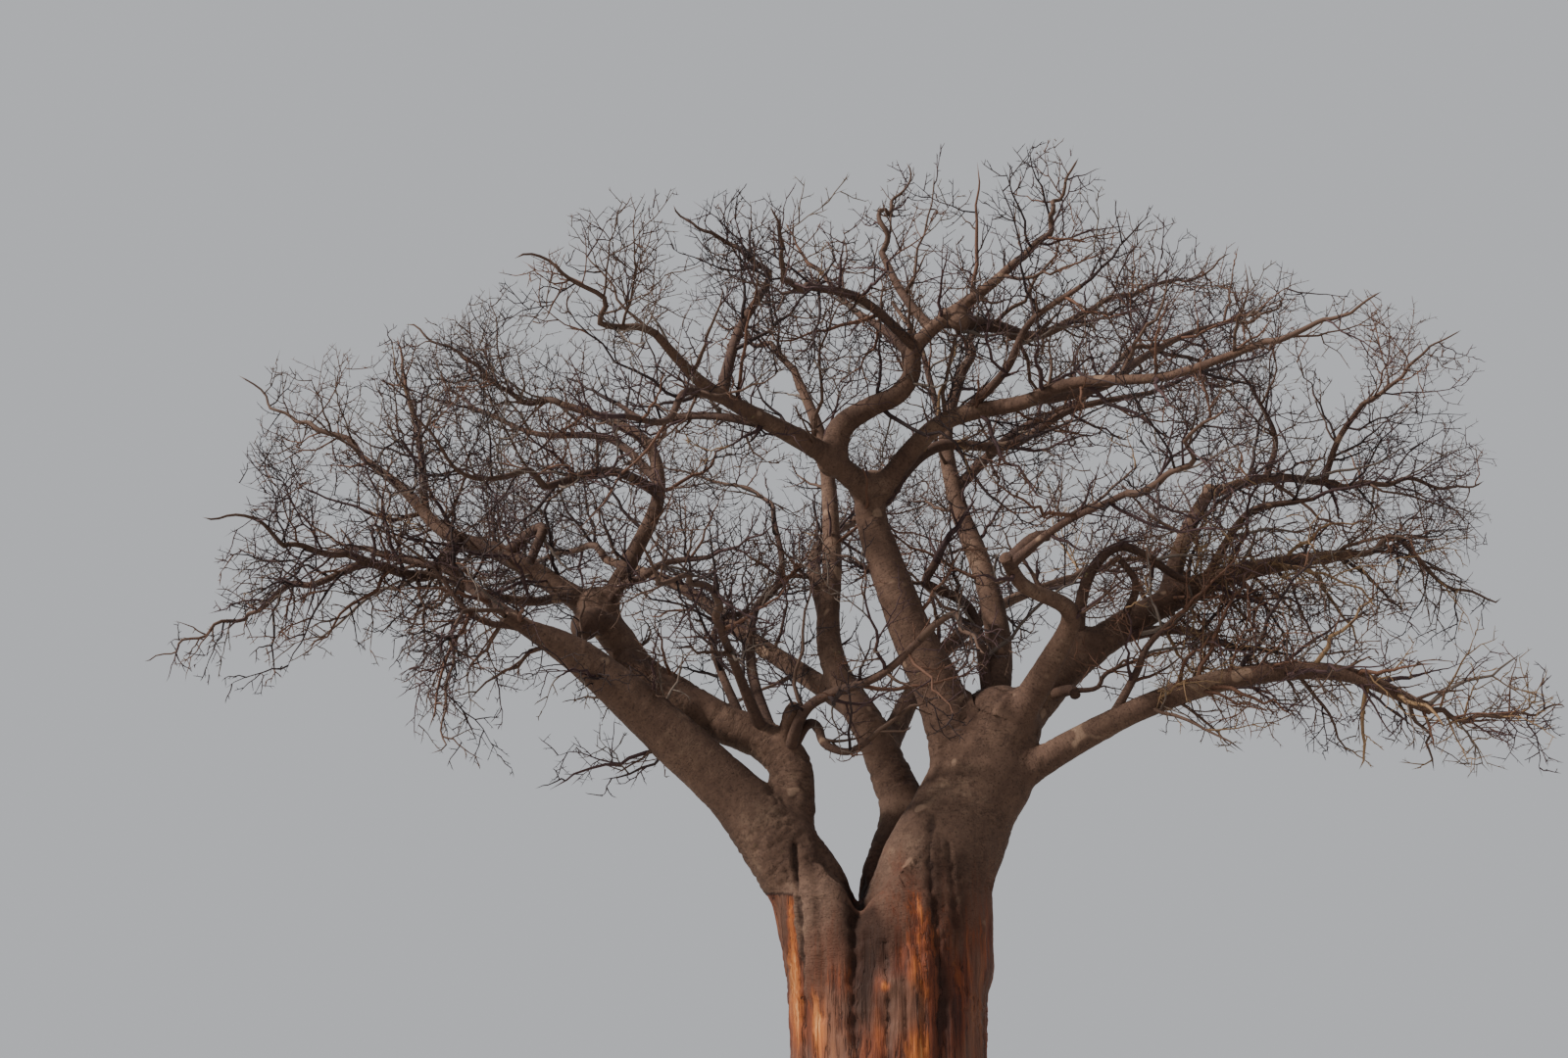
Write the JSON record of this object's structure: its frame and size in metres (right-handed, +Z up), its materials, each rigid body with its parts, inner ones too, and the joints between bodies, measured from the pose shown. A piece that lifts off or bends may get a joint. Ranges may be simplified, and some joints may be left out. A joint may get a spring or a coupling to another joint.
{
  "type": "bare baobab tree",
  "caption": "Whole baobab tree in its leafless season: barrel trunk with flared foot, low fork, wandering boughs and masses of bare twigs.",
  "frame": {"origin": "the middle of the trunk's flat cut at ground level", "axes": "+Z up the trunk, +X to the right and +Y away from the onlooker who faces the tree's front, so the widest spread lies along X"},
  "size_m": [22.6807, 15.9925, 15.7053],
  "materials": {
    "trunk_bark": "rough bark, stripped to rust-red fibre low down",
    "bough_bark": "smooth folded bark, matt",
    "twig_bark": "fine matt bark"
  },
  "bodies": {
    "root": {"trunk": "trunk_bark", "left_great_limb": "bough_bark", "right_stem": "bough_bark", "back_stem": "bough_bark", "left_arm": "bough_bark", "left_far_bough": "bough_bark", "left_hook_bough": "bough_bark", "left_droop_bough": "bough_bark", "left_upright_bough": "bough_bark", "left_inner_bough": "bough_bark", "inner_bough": "bough_bark", "slender_bough": "bough_bark", "crossing_bough": "bough_bark", "centre_limb": "bough_bark", "crest_left_bough": "bough_bark", "crest_rise_bough": "bough_bark", "elbow_bough": "bough_bark", "elbow_right_bough": "bough_bark", "elbow_left_bough": "bough_bark", "elbow_crown_bough": "bough_bark", "crest_right_bough": "bough_bark", "back_upright_limb": "bough_bark", "back_right_bough": "bough_bark", "right_fork_bough": "bough_bark", "right_inner_bough": "bough_bark", "right_great_bough": "bough_bark", "arch_riser": "bough_bark", "arch_run": "bough_bark", "arch_rise": "bough_bark", "low_right_limb": "bough_bark", "back_left_bough": "bough_bark", "back_far_bough": "bough_bark", "back_middle_bough": "bough_bark", "far_left_twigs": "twig_bark", "left_hook_twigs": "twig_bark", "left_droop_twigs": "twig_bark", "left_low_twigs": "twig_bark", "left_crest_twigs": "twig_bark", "left_inner_twigs": "twig_bark", "inner_twigs": "twig_bark", "slender_twigs": "twig_bark", "crossing_twigs": "twig_bark", "crest_left_twigs": "twig_bark", "crest_rise_twigs": "twig_bark", "elbow_twigs": "twig_bark", "elbow_right_twigs": "twig_bark", "elbow_left_twigs": "twig_bark", "elbow_crown_twigs": "twig_bark", "crest_right_twigs": "twig_bark", "back_upright_twigs": "twig_bark", "back_right_twigs": "twig_bark", "right_inner_twigs": "twig_bark", "right_great_twigs": "twig_bark", "arch_run_twigs": "twig_bark", "arch_rise_twigs": "twig_bark", "low_right_twigs": "twig_bark", "back_stem_twigs": "twig_bark", "back_left_twigs": "twig_bark", "back_far_twigs": "twig_bark", "back_middle_twigs": "twig_bark"}
  },
  "joints": []
}
